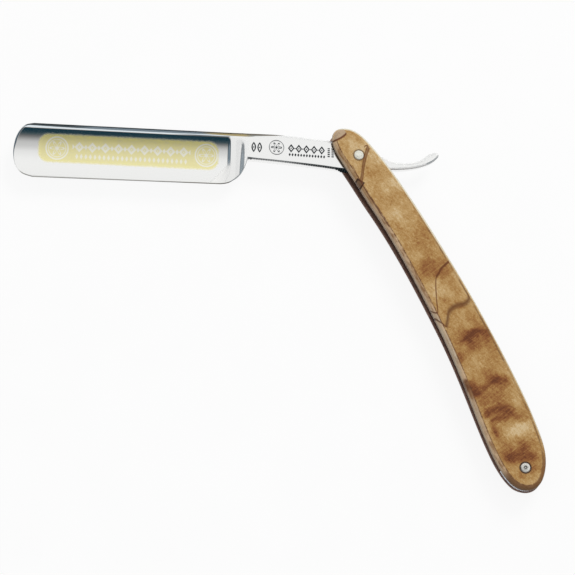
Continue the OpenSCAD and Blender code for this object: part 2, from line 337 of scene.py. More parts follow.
def blade_face(x, y):
    """Half thickness of the blade, before its edges are rounded."""
    plane = np.minimum(flank(y), SPINE_HALF)
    hollow = WHEEL[1] - np.sqrt(np.maximum(HOLLOW_RADIUS ** 2 - (y - WHEEL[0]) ** 2, 0))
    hollow = np.where(y > bevel_top[0], hollow, flank(y))
    hollow = np.where(y > LAND, SPINE_HALF, hollow)
    # the hollow runs out in a wall that follows the heel round at the bottom
    low = np.maximum(0, -WALL_DROP - y)
    past_wall = (-HOLLOW_END - WALL_BEND * low ** WALL_POWER) - x
    below_land = LAND - y
    radius = 1.0
    corner = (past_wall < radius) & (below_land < radius)
    inward = np.where(corner, radius - np.hypot(np.maximum(radius - past_wall, 0),
                                                np.maximum(radius - below_land, 0)), past_wall)
    half = plane + (hollow - plane) * smooth(inward / (WALL_WIDTH + WALL_SPREAD * low))
    # tang: the shoulder groove, then parallel flats, then the thinning tail
    tang = np.where(x < -38, TANG_HALF + (SPINE_HALF - TANG_HALF) * smooth((-38 - x) / 7),
                    TANG_HALF)
    tang = np.where(x > 9, TANG_HALF + (TAIL_HALF - TANG_HALF) * (x - 9) / 21, tang)
    from_shoulder = x + SHOULDER - 0.035 * (y - 4.5)     # leans a little with the heel
    half = half + (tang - half) * smooth((from_shoulder + 2.40) / 1.55)
    groove = 0.05 * np.exp(-((from_shoulder + 2.1) / 0.5) ** 2) * smooth((4.4 - y) / 2.5)
    return half - groove


def rounding(x):
    """Radius of the rounded edges along the outline."""
    radius = np.full_like(x, 0.8)
    radius = np.where(x > -46, 0.8 - 0.45 * smooth((x + 46) / 12), radius)
    return np.where(x > 5, 0.35 + 0.5 * smooth((x - 5) / 12), radius)


def ornament(x, y):
    """The plain marks stamped in the tang, as a share 0 to 1 of their depth."""
    soft = 0.10                                     # width of a mark's sloping wall
    level = y - (2.15 - 0.022 * (x + 38))           # from the shank's middle line
    marks = []
    # a pair of upright leaves near the shoulder
    for middle in (-37.0, -34.9):
        height = level / 1.65
        leaf = np.abs((x - middle) / 0.62) + height * height - 1
        marks.append((0.46 - np.abs(leaf + 0.05)) / 0.30 * (np.abs(height) < 1.15))
        marks.append((0.25 - np.hypot(x - middle, level)) / soft)
    # a rosette in a double ring
    right, up = x + 28.9, level - 0.45
    radius = np.hypot(right, up)
    petal = 1.05 + 0.75 * np.cos(6 * np.arctan2(up, right))
    marks.append((0.15 - np.abs(radius - 2.60)) / soft * 0.62)
    marks.append((0.10 - np.abs(radius - 2.12)) / soft * 0.50)
    marks.append((0.24 - np.abs(radius - petal)) / soft * (radius > 0.25) * (radius < 1.9) * 0.8)
    marks.append((0.34 - radius) / soft)
    # a chain of lozenges with dots between them, and a finer row below
    for i in range(5):
        right = x - (-23.7 + 2.72 * i)
        lozenge = np.abs(right) / 1.10 + np.abs(level - 0.50) / 1.50
        marks.append((0.26 - np.abs(lozenge - 0.80)) / 0.12)
        marks.append((0.24 - np.hypot(right, level - 0.50)) / soft)
        if i < 4:
            marks.append((0.22 - np.hypot(right - 2.72 / 2, level - 0.50)) / soft)
    for i in range(13):
        lozenge = np.abs(x - (-24.2 + 1.02 * i)) / 0.40 + np.abs(level + 1.85) / 0.66
        marks.append((1.0 - lozenge) / 0.25)
    # two short ladders of ticks by the handle
    for middle in (-10.3, -8.9):
        for i in range(5):
            marks.append(np.minimum((0.46 - np.abs(x - middle)) / soft,
                                    (0.19 - np.abs(level - (1.3 - 0.72 * i))) / soft))
    return np.clip(np.maximum.reduce(marks), 0, 1) * (x > -38.5) * (x < -7.5)


def notch(x):
    """The row of notches under the shank, as a cut into its lower boundary."""
    place = (x + NOTCH_START) / NOTCH_PITCH
    last = math.floor((SHOULDER - 10) / NOTCH_PITCH)
    inside = (place > -0.4) & (place < last + 0.4)
    off = np.abs(place - np.round(place)) * NOTCH_PITCH
    depth = np.sqrt(np.maximum(NOTCH_RADIUS ** 2 - off * off, 0)) * 0.85
    return np.where(inside & (off < NOTCH_RADIUS), depth, 0.0)


def blade_columns():
    quarter = math.pi / 2
    parts = [-REACH + 7.0 * (1 - np.cos(np.linspace(0, quarter, 46)))]
    # evenly spaced stretches from the toe to the tail: start, end, count
    for start, end, count in ((-114.4, -47.6, 86), (-47.5, -44.0, 46), (-43.9, -38.9, 78),
                              (-38.8, -8.0, 300), (-7.7, 21.5, 76)):
        parts.append(np.linspace(start, end, count))
    parts.append(29.3 - 7.6 * (1 - np.cos(np.linspace(quarter, 0, 60))))
    return columns(parts, blade_chains[0], 0.0015)


def blade_rows(flank_count, spine_count):
    """Rows close at the lower edge, then over the flank to the crease, then over the spine."""
    edge_offsets = (0, .03, .07, .12, .19, .27, .36, .47, .6, .7, .8)

    def rows(x, low, high):
        width = high - low
        edge_top = low + np.minimum(0.8, 0.16 * width)
        # the crease row follows the top of the hollow, but not at the toe and on the tang
        elsewhere = high - np.minimum(1.8, 0.25 * width)
        away = np.maximum(smooth((x + 46.2) / 3.0), smooth((-114.8 - x) / 2.2))
        crease = LAND * (1 - away) + elsewhere * away
        crease = np.clip(crease, edge_top + 0.3 * (high - edge_top), high)
        y = [low + (edge_top - low) * offset / 0.8 for offset in edge_offsets]
        shares = np.linspace(0, 1, flank_count)[1:]
        shares = shares + 0.06 * np.sin(2 * math.pi * shares) / (2 * math.pi)
        y += [edge_top + (crease - edge_top) * share for share in shares]
        shares = 1 - (1 - np.linspace(0, 1, spine_count)[1:]) ** 1.6
        y += [crease + (high - crease) * share for share in shares]
        y = np.array(y)
        # the notches press the lowest rows upwards
        return y + notch(x)[None, :] * np.clip(1 - (y - low) / 0.9, 0, 1)

    return rows


def blade_surface(side, stamp_depth):
    def surface(x, y):
        half = blade_face(x, y)
        # no rounding on the cutting edge, which is already thin
        radius = np.minimum(rounding(x), np.maximum(half - EDGE_HALF, 0) * 0.9)
        inset = edge_distance(x, y, blade_outline)
        z = half - radius * arc_drop(np.clip(1 - inset / np.maximum(radius, 1e-6), 0, 1))
        return side * (z - stamp_depth * ornament(x, y))

    return surface


def make_blade():
    ob = slab("blade_body", blade_chains, blade_columns(), (blade_rows(66, 17), blade_rows(22, 13)),
              (blade_surface(1, 0.07), blade_surface(-1, 0)))
    cut(ob, [drill(0, 0, (-5, 5), 0.85)])
    x, y, z = local(ob)
    store(ob, mark=ornament(x, y) * (z > 1.5), rim=edge_distance(x, y, blade_outline))
    shade(ob, 40)
    return ob


blade = make_blade()

# ===================================================================== SCALES
# outline of a scale: along and across the handle, drawn for a span of 125.4
stations = [
    [-11.9, -1.9], [-10.9, 0.9], [-8.9, 3.1], [-5.5, 4.9], [0, 6.4], [8, 8.0], [19, 9.5],
    [33, 10.8], [48, 11.8], [63, 12.5], [78, 12.75], [92, 12.6], [105, 12.1], [115, 11.1],
    [122, 9.8], [127, 7.7], [130.7, 4.9], [132.7, 2.1], [133.2, -0.9], [132.0, -3.8],
    [129.3, -6.2], [125, -7.5], [119, -7.95], [111, -7.55], [102, -6.6], [92, -5.4],
    [82, -4.35], [72, -3.65], [60, -3.25], [48, -3.1], [36, -3.3], [25, -3.9],
    [15, -4.85], [6, -5.55], [-1, -6.2], [-5.5, -6.4], [-9, -5.75], [-11.2, -4.2]]
scale_outline = spline([[x * SPAN / 125.4, y] for x, y in stations], 20, closed=True)
scale_chains = chains(scale_outline)
ROUND_WIDTH, ROUND_DROP = 1.4, 2.0        # the rounded shoulder of the outer face
UNDER_ROUND = 0.22                        # rounding round the inner face
PIN_HOLE, SEAT_RADIUS, SEAT_DEPTH = 0.83, 1.9, 0.35
# height of each collar's seat, by its place along the handle
SEAT = {x: HALF_GAP_PIVOT + SCALE_THICK / math.cos(TILT) - x * math.tan(TILT) - SEAT_DEPTH
        for x in (0.0, SPAN)}


def scale_columns():
    left, right = scale_chains[0][0, 0], scale_chains[0][-1, 0]
    quarter = math.pi / 2
    return columns([left + 6.0 * (1 - np.cos(np.linspace(0, quarter, 44))),
                    right - 9.0 * (1 - np.cos(np.linspace(0, quarter, 56)))[::-1],
                    np.linspace(left + 6.2, right - 9.3, 420)], scale_chains[0], 0.002)


def scale_rows(count):
    """Rows close at both edges and even between them."""
    offsets = (0, .008, .03, .07, .125, .19, .27, .36, .46, .57, .69, .82, 1.0)

    def rows(x, low, high):
        width = high - low
        rim = np.minimum(1.7, 0.24 * width)
        return np.array(
            [low + rim * offset for offset in offsets]
            + [low + rim + (width - 2 * rim) * share for share in np.linspace(0, 1, count)[1:-1]]
            + [high - rim * offset for offset in offsets[::-1]])

    return rows


def scale_outer(x, y):
    inset = edge_distance(x, y, scale_outline)
    # the shoulder is rounded, but leaves the face at a distinct line
    t = np.clip(1 - inset / ROUND_WIDTH, 0, 1)
    drop = ROUND_DROP * (0.66 * arc_drop(t) + 0.34 * t)
    uneven = 0.02 * (layered_noise(x / 9, y / 6, 2, 2) - 0.5) * smooth((inset - 1.4) / 3)
    return SCALE_THICK - drop - 0.012 + uneven


def scale_inner(x, y):
    inset = edge_distance(x, y, scale_outline)
    return UNDER_ROUND * arc_drop(np.clip(1 - inset / UNDER_ROUND, 0, 1))


def make_scale(name, side):
    def place(verts):
        """Lean the scale in towards the wedge and turn it along the handle."""
        x, y, z = verts.T
        cosine, sine = math.cos(TILT), math.sin(TILT)
        along = x * cosine + z * sine
        return np.c_[along * ALONG[0] + y * ACROSS[0], along * ALONG[1] + y * ACROSS[1],
                     (HALF_GAP_PIVOT - x * sine + z * cosine) * side]

    ob = slab(name, scale_chains, scale_columns(), (scale_rows(44), scale_rows(10)),
              (scale_outer, scale_inner), place)
    if side < 0:
        ob.data.flip_normals()
    cutters = []
    for along, seat in SEAT.items():
        x, y = ALONG * along
        cutters.append(drill(x, y, (side * 0.2, side * 9), PIN_HOLE))
        cutters.append(drill(x, y, (side * seat, side * 9), SEAT_RADIUS, 96))
    cut(ob, cutters)
    return ob


# ---- the broad figure of the wood, as soft spots that darken (or, below 0, lighten) it:
# place along, place across, size along, size across, turn in degrees, weight
FRONT_FIGURE = [
    (75.2, 5.6, 1.7, 4.6, 3, .66), (75.1, 6.6, 1.0, 2.2, 0, .28), (77.8, 4.4, 1.5, 1.6, 0, .26),
    (77.6, 9.6, 1.8, 1.8, 0, .22), (80.5, -1.2, 1.6, 1.6, 0, .26), (46.6, 2.4, 2.9, 4.0, 12, .40),
    (43.0, -1.0, 3.0, 1.6, 0, -.06), (39.5, 5.0, 3.5, 2.4, 20, .20), (53.5, 7.5, 2.5, 2.0, 0, .14),
    (19.5, 3.6, 3.0, 2.2, 15, .04), (7.9, 1.2, 1.6, 1.8, 0, .14), (15.5, 3.6, 3.4, 2.2, 0, -.10),
    (30.5, 1.4, 3.0, 1.6, 20, .12), (35.5, 8.2, 3.0, 1.4, 0, .18), (63.0, -1.5, 2.0, 1.4, 0, .10),
    (70.5, 8.5, 2.6, 1.6, 20, .14), (82.5, 10.2, 3.0, 1.5, 0, .22), (87.5, 8.0, 2.5, 2.0, 0, .14),
    (91.3, -3.8, 1.7, 2.4, 0, .66), (94.6, -3.0, 1.5, 1.7, 0, .62), (94.2, 0.6, 1.2, 2.4, 0, .52),
    (93.0, 5.3, 1.9, 2.2, 0, .66), (95.0, 8.4, 1.7, 1.6, 0, .38), (89.6, 3.6, 1.2, 1.0, 0, .22),
    (103.0, -3.6, 1.2, 1.5, 0, .42), (102.6, 0.0, 1.3, 2.4, 0, .58),
    (103.8, 3.4, 1.5, 2.0, 0, .40), (106.4, 0.6, 1.5, 3.6, 0, .24), (109.0, 6.2, 1.5, 1.8, 0, .30),
    (105.8, 0.2, 0.9, 2.6, 0, .30), (109.8, -3.8, 1.8, 1.4, 0, .44),
    (118.6, 3.2, 1.9, 2.4, 0, .46), (120.1, -3.2, 1.7, 2.3, 0, .48),
    (121.2, 0.2, 1.5, 2.0, 0, .44), (122.8, 3.2, 1.5, 2.0, 0, .48),
    (118.0, -3.2, 1.7, 3.2, 0, .26), (127.2, 2.4, 1.5, 2.6, 0, .26),
    (124.2, 4.4, 1.2, 1.6, 0, .20), (127.5, -3.5, 1.2, 1.5, 0, .22), (56.5, 8.4, 4.2, 1.8, 0, .20),
    (112.2, 5.6, 1.9, 3.6, 0, -.34), (111.8, 0.6, 1.6, 3.4, 0, -.18),
    (14.5, 6.4, 3.2, 1.5, 25, -.20), (24.4, 3.0, 2.6, 4.4, 10, -.20), (50.2, 7.0, 1.6, 3.4, 0, .30),
    (49.4, 0.0, 1.8, 2.4, 0, .12), (47.0, 9.0, 2.2, 1.6, 0, .22), (60.8, 4.2, 1.8, 2.4, 0, .18),
    (64.2, 5.4, 1.5, 4.2, 0, .20), (79.4, 4.4, 1.5, 6.2, 0, .22), (76.4, 10.2, 1.5, 1.6, 0, .20),
    (73.2, -1.8, 1.4, 1.6, 0, .18), (112.0, -3.4, 2.0, 2.4, 0, .18),
    (43.0, 1.4, 2.4, 2.2, 0, -.16), (106.0, 4.8, 1.4, 1.8, 0, .26), (109.4, 8.2, 1.6, 2.2, 0, .18),
    (103.4, 8.6, 1.8, 1.2, 0, -.18), (94.3, -3.6, 1.3, 1.6, 0, .18), (97.2, 0.0, 1.2, 1.8, 0, .12),
    (64.4, 6.8, 1.2, 2.0, 0, .16), (-1.5, 1.0, 2.4, 3.0, 0, -.12), (33.0, -1.6, 4.0, 1.2, 0, -.16),
    (34.2, 2.2, 2.6, 1.4, 0, -.14), (55.0, 3.0, 4.5, 2.6, 0, -.10), (58.5, 7.2, 3.5, 2.4, 0, -.08),
    (64.0, -2.2, 1.8, 1.6, 0, -.12), (85.2, 1.6, 2.4, 3.0, 0, -.08), (98.6, 1.2, 2.3, 6.2, 0, .30),
    (131.0, 0.0, 1.6, 3.0, 0, -.14), (-3.0, 0.0, 6.0, 5.0, 0, -.16), (5.5, 5.5, 3.0, 2.0, 0, -.12),
    (89.0, 2.5, 3.0, 2.5, 0, .14)]
REAR_FIGURE = [
    (18, 4, 2.4, 6, 10, .5), (31, 2, 2, 7, -8, .45), (52, 5, 2.6, 6, 14, .6), (66, 0, 2, 5, 0, .35),
    (88, 6, 2.5, 6, -10, .5), (104, 3, 2, 5, 5, .4), (120, 2, 3, 4, 0, .3), (35, 7, 4, 2, 0, .2),
    (42, 4, 4, 4, 0, -.25), (77, 4, 5, 4, 0, -.25), (97, 3, 3, 5, 0, -.2)]


def spots(x, y, table):
    total = np.zeros_like(x)
    for along, across, size_along, size_across, turn, weight in table:
        cosine, sine = math.cos(math.radians(turn)), math.sin(math.radians(turn))
        right = ((x - along) * cosine + (y - across) * sine) / (size_along * 1.22)
        up = (-(x - along) * sine + (y - across) * cosine) / (size_across * 1.12)
        total = total + weight * np.exp(-(right * right + up * up))
    return total


def figure(x, y, side):
    """Tone of the wood, 0 pale to 1 dark, at places along (x) and across (y) the handle."""
    noise_at = layered_noise
    bent_y = y + 2.0 * (noise_at(x / 9, y / 5, 3, 3) - 0.5)
    if side > 0:
        bent_x = (x + 1.5 * (noise_at(x / 7, y / 4, 1, 3) - 0.5)
                  + 1.0 * (noise_at(x / 2.4, y / 1.6, 5, 2) - 0.5))
        bands = spots(bent_x, bent_y, FRONT_FIGURE)
    else:
        bent_x = 131 - x + 2 * (noise_at(x / 8, y / 5, 6, 3) - 0.5)
        bands = spots(bent_x, bent_y, REAR_FIGURE)
    tone = (0.30 + bands + 0.30 * (noise_at(x / 5.0, y / 2.6, 4, 4) - 0.5)
            + 0.16 * (noise_at(x / 16, y / 6, 0, 2) - 0.5))
    return np.clip(tone, 0, 1)


def paint_scale(ob, side):
    """Store what the wood's material reads."""
    x, y, z = local(ob)
    x, y = to_handle(x, y)
    middle = sum(np.interp(x, chain[:, 0], chain[:, 1]) for chain in scale_chains) / 2
    under = (HALF_GAP_PIVOT - x * math.tan(TILT) + 0.12 - z * side) / 0.1
    store(ob, tone=figure(x, y, side), rim=edge_distance(x, y, scale_outline),
          convex=smooth((y - middle) / 2.4 + 0.5), inner=np.clip(under, 0, 1))
    shade(ob, 50)


scales = {end: make_scale(f"{end}_scale_wood", side) for end, side in ENDS}
for end, side in ENDS:
    paint_scale(scales[end], side)

# ================================================== PINS, COLLARS AND WASHERS
PIN_RADIUS = 0.8
COLLAR_RADIUS, COLLAR_BORE, COLLAR_HEIGHT = 1.7, 0.82, 0.75


def lathe(name, profile, along, side=1):
    """A turned piece about an upright axis on the handle's line; profile is a list of
    (radius, z), closed into a loop unless it starts on the axis."""
    count = 112
    middle = ALONG * along
    verts, faces, rings = [], [], []
    for radius, z in profile:
        points = 1 if radius < 1e-6 else count
        rings.append(list(range(len(verts), len(verts) + points)))
        for i in range(points):
            angle = 2 * math.pi * i / count
            verts.append((middle[0] + radius * math.cos(angle),
                          middle[1] + radius * math.sin(angle), z * side))
    if profile[0][0] > 1e-6:
        rings.append(rings[0])
    for ring, after in zip(rings, rings[1:]):
        for i in range(count):
            j = (i + 1) % count
            quad = (ring[i % len(ring)], ring[j % len(ring)],
                    after[j % len(after)], after[i % len(after)])
            faces.append(list(dict.fromkeys(quad)))
    ob = new_object(name, verts, faces)
    bm = bmesh.new()
    bm.from_mesh(ob.data)
    bmesh.ops.recalc_face_normals(bm, faces=bm.faces)
    bm.to_mesh(ob.data)
    bm.free()
    shade(ob, 38)
    return ob


def pin(name, along, dish):
    """A pin with a peened head at each end: domed, or dished in the middle by dish."""
    top, radius = SEAT[along] + COLLAR_HEIGHT, PIN_RADIUS
    half = [(0, top + 0.12 - dish)]
    if dish:
        for share in np.linspace(0.1, 0.62, 8):
            half.append((radius * share, top + 0.12 - dish * (1 - (share / 0.62) ** 2)))
        half += [(radius * .70, top + 0.125), (radius * .82, top + 0.11)]
    else:
        for share in np.linspace(0.15, 0.9, 8):
            half.append((radius * share, top + 0.12 - 0.05 * share ** 3))
    half += [(radius + out, top + up) for out, up in (
        (0.12, 0.02), (0.22, -0.05), (0.245, -0.09), (0.22, -0.115), (0, -0.13))]
    return lathe(name, half + [(r, -z) for r, z in half[::-1]], along)


def collar(name, along, side):
    """A domed collar sunk in its seat."""
    base, outer, bore, height = SEAT[along] + 0.01, COLLAR_RADIUS, COLLAR_BORE, COLLAR_HEIGHT
    profile = [(bore, base), (outer - 0.10, base), (outer - 0.03, base + 0.03),
               (outer, base + 0.10), (outer, base + 0.26)]
    for angle in np.radians(np.linspace(0, 90, 16)):
        profile.append((bore + 0.30 + (outer - 0.04 - bore - 0.30) * math.cos(angle),
                        base + 0.30 + (height - 0.30) * math.sin(angle)))
    profile += [(bore + 0.27, base + height - 0.03), (bore + 0.25, base + height - 0.14),
                (bore, base + height - 0.17)]
    return lathe(name, profile, along, side)


def washer(name, side):
    """A flat ring between the tang and a scale, with eased corners."""
    base = TANG_HALF + 0.03
    top = base + HALF_GAP_PIVOT - TANG_HALF - 0.11
    outer, bore, ease = 3.2, 0.9, 0.05
    return lathe(name, [
        (bore, base + ease), (bore + ease, base), (outer - ease, base), (outer, base + ease),
        (outer, top - ease), (outer - ease, top), (bore + ease, top), (bore, top - ease)], 0, side)


# each turned piece: object, the CAD piece it replaces, its slot and its metal
turned = [
    (pin("pivot_pin_peened", 0.0, 0.0), "pivot_pin", "pin_metal", "cream"),
    (pin("wedge_pin_peened", SPAN, 0.2), "wedge_pin", "pin_metal", "nickel")]
for joint, along, metal in (("pivot", 0.0, "cream"), ("wedge", SPAN, "nickel")):
    for end, side in ENDS:
        node = f"{end}_{joint}_collar"
        turned.append((collar(node + "_dome", along, side), node, f"{joint}_collar_metal", metal))
for end, side in ENDS:
    node = f"{end}_pivot_washer"
    turned.append((washer(node + "_ring", side), node, "washer_brass", "brass"))


# ================================================================= NODE GRAPHS
class Graph:
    """A node tree, emptied and ready to build in."""

    def __init__(self, tree):
        self.tree = tree
        tree.nodes.clear()

    def put(self, socket, value):
        if isinstance(value, Value):
            value = value.socket
        if isinstance(value, bpy.types.NodeSocket):
            self.tree.links.new(value, socket)
        elif isinstance(value, tuple) and socket.type == "RGBA":
            socket.default_value = (*value, 1)
        else:
            socket.default_value = value

    def node(self, kind, *inputs, **settings):
        """A new node with its settings and, in order, its first inputs."""
        node = self.tree.nodes.new("ShaderNode" + kind)
        for name, setting in settings.items():
            setattr(node, name, setting)
        for socket, value in zip(node.inputs, inputs):
            self.put(socket, value)
        return node

    def value(self, node, output=0):
        return Value(self, node.outputs[output])

    def attribute(self, name):
        return self.value(self.node("Attribute", attribute_name=name), "Fac")

    def coords(self):
        """x, y and z in mm from the centre of the pivot."""
        place = self.value(self.node("TexCoord"), "Object")
        return split(self.value(self.node("VectorMath", place, (1000, 1000, 1000),
                                          tuple(-PIVOT), operation="MULTIPLY_ADD")))

    def blend(self, amount, one, two):
        """Mix of two shaders."""
        return self.node("MixShader", amount, one, two).outputs[0]

    def shader(self, kind, *inputs):
        return self.node(kind, *inputs).outputs[0]


class Material(Graph):
    """A material with one principled shader."""

    sockets = {"color": "Base Color", "metal": "Metallic", "rough": "Roughness",
               "normal": "Normal", "ior": "IOR", "spec": "Specular IOR Level",
               "tint": "Specular Tint"}

    def __init__(self, name):
        self.material = bpy.data.materials.new(name)
        self.material.use_nodes = True
        super().__init__(self.material.node_tree)
        output = self.node("OutputMaterial")
        self.principled = self.node("BsdfPrincipled")
        self.put(output.inputs["Surface"], self.principled.outputs[0])

    def finish(self, **values):
        for name, value in values.items():
            self.put(self.principled.inputs[self.sockets[name]], value)
        return self.material


class Value:
    """An output socket that can be added, multiplied and so on."""

    def __init__(self, graph, socket):
        self.graph = graph
        self.socket = socket

    def __add__(self, other):
        return maths("ADD", self, other)

    def __sub__(self, other):
        return maths("SUBTRACT", self, other)

    def __rsub__(self, other):
        return maths("SUBTRACT", other, self)

    def __mul__(self, other):
        return maths("MULTIPLY", self, other)

    def __truediv__(self, other):
        return maths("DIVIDE", self, other)

    __radd__ = __add__
    __rmul__ = __mul__

    def abs(self):
        return maths("ABSOLUTE", self)

    def max(self, other):
        return maths("MAXIMUM", self, other)

    def cos(self):
        return maths("COSINE", self)


def maths(operation, *values, clamp=False):
    graph = next(v.graph for v in values if isinstance(v, Value))
    return graph.value(graph.node("Math", *values, operation=operation, use_clamp=clamp))


def length(x, y):
    return maths("SQRT", x * x + y * y)


def split(vector):
    node = vector.graph.node("SeparateXYZ", vector)
    return [vector.graph.value(node, i) for i in range(3)]


def noise(place, scale=1.0, detail=3, rough=0.55):
    """Noise at a place (x, y, z), of which x is a Value."""
    graph = place[0].graph
    vector = graph.value(graph.node("CombineXYZ", *place))
    node = graph.node("TexNoise")
    for name, value in (("Vector", vector), ("Scale", scale), ("Detail", detail),
                        ("Roughness", rough)):
        graph.put(node.inputs[name], value)
    return graph.value(node)


def ramp(amount, stops):
    """Colour from stops of (position, colour)."""
    node = amount.graph.node("ValToRGB", amount)
    elements = node.color_ramp.elements
    while len(elements) < len(stops):
        elements.new(0.5)
    for element, (position, color) in zip(elements, stops):
        element.position = position
        element.color = (*color, 1)
    return amount.graph.value(node)


def mix(amount, one, two):
    """Colour one where amount is 0, two where it is 1."""
    node = amount.graph.node("Mix", amount, data_type="RGBA")
    amount.graph.put(node.inputs[6], one)
    amount.graph.put(node.inputs[7], two)
    return amount.graph.value(node, 2)


def step(value, off, on):
    """0 at off, 1 at on, smooth between; off may be the larger."""
    limits = (off, on, 0.0, 1.0) if off < on else (on, off, 1.0, 0.0)
    graph = value.graph
    return graph.value(graph.node("MapRange", value, *limits, interpolation_type="SMOOTHSTEP"))


def follow(run, points):
    """A smooth function of run through points of (run, value)."""
    points = sorted(points)
    start, end = points[0][0], points[-1][0]
    low = min(v for _, v in points)
    high = max(max(v for _, v in points), low + 1e-3)
    node = run.graph.node("FloatCurve")
    run.graph.put(node.inputs["Value"], (run - start) / (end - start))
    curve = node.mapping.curves[0]
    while len(curve.points) < len(points):
        curve.points.new(0.5, 0.5)
    for point, (place, value) in zip(curve.points, points):
        point.location = ((place - start) / (end - start), (value - low) / (high - low))
        point.handle_type = "AUTO"
    node.mapping.update()
    return run.graph.value(node) * (high - low) + low


def ribbon(run, off, points, half, soft, wobble):
    """1 on a line through points of (run, off), half its width to each side."""
    points = sorted(points)
    middle = follow(run, points)
    slopes = [abs(v2 - v1) / max(p2 - p1, 1e-6) for (p1, v1), (p2, v2) in zip(points, points[1:])]
    width = half * math.sqrt(1 + (sum(slopes) / len(slopes)) ** 2)
    distance = (off - middle).abs() + wobble
    start, end = points[0][0], points[-1][0]
    ends = step(run, start - 0.15, start + 0.15) * step(run, end + 0.15, end - 0.15)
    return step(distance, width * (1 + soft), width * (1 - soft)) * ends


def bump(height, strength, distance):
    node = height.graph.node("Bump")
    for name, value in (("Strength", strength), ("Distance", distance), ("Height", height)):
        height.graph.put(node.inputs[name], value)
    return height.graph.value(node)


# ================================================================== BLADE STEEL
def rosette(x, y, middle_x):
    """A six-petalled flower in a double ring."""
    right, up = x - middle_x, y + 1.45
    radius = length(right, up)
    angle = maths("ARCTAN2", up, right)
    ring = step((radius - 3.85).abs(), 0.34, 0.16)
    inner_ring = step((radius - 3.05).abs(), 0.24, 0.10) * 0.8
    petal = 1.45 + 0.95 * (angle * 6.0).cos()
    leaf = step((radius - petal).abs(), 0.44, 0.20) * step(radius, 2.75, 2.6)
    return ring.max(inner_ring).max(leaf).max(step(radius, 0.75, 0.5))


def pale_figures(x, y):
    """Rosettes, a chain of lozenges and a fine row of small leaves in the gilt wash."""
    flowers = rosette(x, y, -106.2).max(rosette(x, y, -53.6))
    right = x + 80.0
    half_cell = 2.3
    repeat = maths("WRAP", right, half_cell, -half_cell)
    up = y + 0.70
    lozenge = repeat.abs() / 1.62 + up.abs() / 1.70
    chain = step((lozenge - 0.74).abs(), 0.38, 0.26).max(step(lozenge, 0.26, 0.14))
    between = maths("WRAP", right + half_cell, half_cell, -half_cell)
    dot = step(between.abs() + up.abs() * 0.7, 0.74, 0.54)
    row = chain.max(dot) * step(right.abs(), 20.9, 20.7)
    repeat = maths("WRAP", right, 0.80, -0.80)
    leaf = step(repeat.abs() / 0.54 + (y + 4.0).abs() / 1.05, 1.10, 0.85)
    leaf = leaf * step(right.abs(), 20.1, 19.9)
    return flowers.max(row).max(leaf * 0.9)


def gilt_wash(x, y, z, waver):
    """A soft-edged gilt panel on the front flank: its mask, its colour and its pale figures."""
    middle_x, middle_y, half_x, half_y, radius = -81.0, -1.47, 31.6, 4.82, 3.4
    out_x = ((x - middle_x).abs() - (half_x - radius)).max(0.0)
    out_y = ((y - middle_y).abs() - (half_y - radius)).max(0.0)
    outside = length(out_x, out_y) - radius + waver * 0.9
    panel = step(outside, 0.62, -0.52) * step(z, 0.0, 0.05)
    light = pale_figures(x, y)
    grain = noise((x * 2.4, y * 2.4, 1.0), detail=3, rough=0.7)
    wear = step(noise((x, y * 1.5, 3.0), scale=0.6, detail=4), 0.25, 0.60)
    # too faint to colour the steel that mirrors it
    mirrored = x.graph.value(x.graph.node("LightPath"), "Is Glossy Ray")
    gold = panel * (0.86 + 0.14 * wear) * (1.0 - mirrored)
    wash = mix(step(grain, 0.30, 0.75), (0.86, 0.74, 0.16), (0.74, 0.62, 0.18))
    wash = mix(step(outside, -1.3, -0.2) * 0.6, wash, (0.95, 0.83, 0.14))
    return gold, mix(light * 0.86, wash, (0.97, 0.95, 0.80)), light


def spine_back_painted_reflection(x, y, rim, waver):
    """The duller band along the back of the spine, coloured with a painted dark reflection: its
    mask and its colour.
    """
    border = follow(x, [
        (-122.0, 6.30), (-114.0, 5.98), (-104.0, 5.82), (-90.0, 5.72), (-66.0, 5.72),
        (-52.0, 5.86), (-43.0, 5.72), (-36.0, 6.15), (-30.0, 6.60), (-24.0, 6.95)])
    mask = step(y - border + (waver * 0.10), -0.06, 0.10)
    mask = mask * step(x, -23.0, -27.0) * step(rim, 1.9, 1.7)
    # from the toe to the tang, the painted reflection changes tint in three places
    tint = mix(step(x, -102.0, -92.0), (0.040, 0.056, 0.064), (0.200, 0.255, 0.300))
    tint = mix(step(x, -56.5, -50.0), tint, (0.48, 0.38, 0.17))
    tint = mix(step(x, -41.0, -37.0), tint, (0.26, 0.26, 0.24))
    # a painted dark reflection on the top of the rounded back as well
    top = step(rim, 0.62, 0.42) * step(x, -96.0, -86.0)
    top_reflection_tint = mix(step(x, -58.0, -52.0), (0.050, 0.065, 0.075), (0.230, 0.165, 0.095))
    return mask, mix(top * 0.75, tint, top_reflection_tint)


def notch_painted_shade(x, y, z, rim):
    """Painted shade in and between the notches, reaching up the shank's wall by the handle: its
    mask and its beat from notch to notch.
    """
    beat = ((x + NOTCH_START) * (2 * math.pi / NOTCH_PITCH)).cos()
    shade_strength = follow(x, [(-40.0, 0.90), (-34.0, 0.86), (-28.0, 0.80), (-22.0, 0.92), (-15.0, 1.0),
                      (5.0, 1.0)])
    mask = step(rim, 0.36, 0.21) * step(x, -39.6, -38.6) * step(y, 0.0, -0.5) * step(x, 4.0, 1.0)
    reach = follow(x, [(-40.0, 0.50), (-34.0, 0.52), (-28.0, 0.62), (-21.0, 0.78),
                       (-15.0, 1.15), (-10.0, 1.20)])
    reach = reach + beat * 0.34 + step(x, -7.2, -4.6) * 3.0
    return mask * step(z + reach, 0.95, 1.50) * shade_strength, 0.94 + 0.06 * beat


